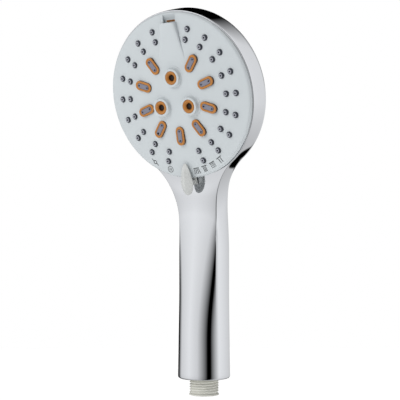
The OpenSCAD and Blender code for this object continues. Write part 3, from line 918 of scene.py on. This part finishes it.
# ---------------------------------------------------------------- studio
def studio_world():
    """White to the camera. What the chrome mirrors is a pale room with a soft dark band to
    the camera's right and dark cloth behind, above and below the object. The stops are
    (degrees, grey), round values."""
    world = bpy.data.worlds.new("studio")
    scene.world = world
    nodes, links = nodes_of(world)

    def math_node(kind, first, second=None, third=None):
        item = nodes.new("ShaderNodeMath")
        item.operation = kind
        for socket, value in zip(item.inputs, (first, second, third)):
            if isinstance(value, (int, float)):
                socket.default_value = value
            elif value is not None:
                links.new(value, socket)
        return item.outputs[0]

    def along(axis):
        item = nodes.new("ShaderNodeVectorMath")
        item.operation = "DOT_PRODUCT"
        links.new(where.outputs["Generated"], item.inputs[0])
        item.inputs[1].default_value = axis
        return item.outputs["Value"]

    def ramp(value, low, high, stops):
        """Greys at places from low to high."""
        spread = math_node("DIVIDE", math_node("SUBTRACT", value, low), high - low)
        item = nodes.new("ShaderNodeValToRGB")
        links.new(spread, item.inputs[0])
        elements = item.color_ramp.elements
        while len(elements) > 1:
            elements.remove(elements[-1])
        for index, (place, grey) in enumerate(stops):
            position = (place - low) / (high - low)
            element = elements[0] if index == 0 else elements.new(position)
            element.position = position
            element.color = (grey, grey, grey, 1)
        return item.outputs["Color"]

    where = nodes.new("ShaderNodeTexCoord")
    turn = math_node("ARCTAN2", along(look_right), along(-look_ahead))
    turn = math_node("MULTIPLY", turn, 180 / math.pi)
    rise = math_node("MULTIPLY", math_node("ARCSINE", along((0, 0, 1))), 180 / math.pi)
    room = ramp(turn, -180, 180, [
        (-180, 0), (-145, 0), (-120, 0.6), (-70, 0.75), (-30, 0.6), (15, 0), (30, 0), (70, 0.75),
        (180, 0.5),
    ])
    behind = ramp(turn, -180, 180, [(-180, 1), (-150, 1), (-140, 0), (120, 0), (160, 1), (180, 1)])
    above = ramp(rise, -90, 90, [(-90, 0), (5, 0), (10, 1), (60, 1), (70, 0), (90, 0)])
    behind_low = ramp(turn, -180, 180, [(-180, 0), (149, 0), (151, 1), (180, 1)])
    below = ramp(rise, -90, 90, [(-90, 0), (-35, 0), (-33, 1), (-18, 1), (-16, 0), (90, 0)])
    cloth = math_node("MULTIPLY", behind, above)
    cloth = math_node("MAXIMUM", cloth, math_node("MULTIPLY", behind_low, below))
    low_room = ramp(rise, -90, 90, [(-90, 0.7), (-30, 0.75), (-5, 1), (90, 1)])
    seen = math_node("MULTIPLY", room, math_node("SUBTRACT", 1, cloth))
    seen = math_node("MULTIPLY", seen, low_room)
    paths = nodes.new("ShaderNodeLightPath")
    reflected = nodes.new("ShaderNodeBackground")
    links.new(seen, reflected.inputs["Color"])
    reflected.inputs["Strength"].default_value = 1.1
    plain = nodes.new("ShaderNodeBackground")
    plain.inputs["Color"].default_value = (1, 1, 1, 1)
    plain.inputs["Strength"].default_value = 1.0
    choice = nodes.new("ShaderNodeMixShader")
    links.new(paths.outputs["Is Camera Ray"], choice.inputs[0])
    links.new(reflected.outputs[0], choice.inputs[1])
    links.new(plain.outputs[0], choice.inputs[2])
    out = nodes.new("ShaderNodeOutputWorld")
    links.new(choice.outputs[0], out.inputs["Surface"])


def soft_light(name, place, power, size, target):
    data = bpy.data.lights.new(name, "AREA")
    data.energy = power
    data.size = size
    data.color = (1.0, 1.0, 1.0)
    light = bpy.data.objects.new(name, data)
    scene.collection.objects.link(light)
    light.location = place
    light.rotation_euler = (Vector(target) - Vector(place)).to_track_quat("-Z", "Y").to_euler()
    light.visible_glossy = False
    light.visible_camera = False


studio_world()
head_place = centre * MM
key_place = head_place - 0.9 * look_right - 0.9 * look_ahead + Vector((0, 0, 0.7))
fill_place = head_place + 0.8 * look_right - 0.9 * look_ahead + Vector((0, 0, 0.1))
soft_light("key", key_place, 7, 0.6, head_place)
soft_light("fill", fill_place, 0.8, 0.8, head_place)

# Floor: a wide pale disc well below the object, which hangs free
FLOOR_Z = -320
floor_mesh = make_mesh("floor", cylinder(3000, FLOOR_Z - 4, FLOOR_Z, 96))
floor_white = finish_material(
    "floor_white", (0.9, 0.9, 0.9), 0.7, grain=40, bump=0, tint=0.005,
    Emission_Color=(1, 1, 1, 1), Emission_Strength=0.65,
)
floor_mesh.materials.append(floor_white)
floor = bpy.data.objects.new("floor", floor_mesh)
scene.collection.objects.link(floor)
floor.visible_glossy = False

scene.view_settings.view_transform = "Standard"
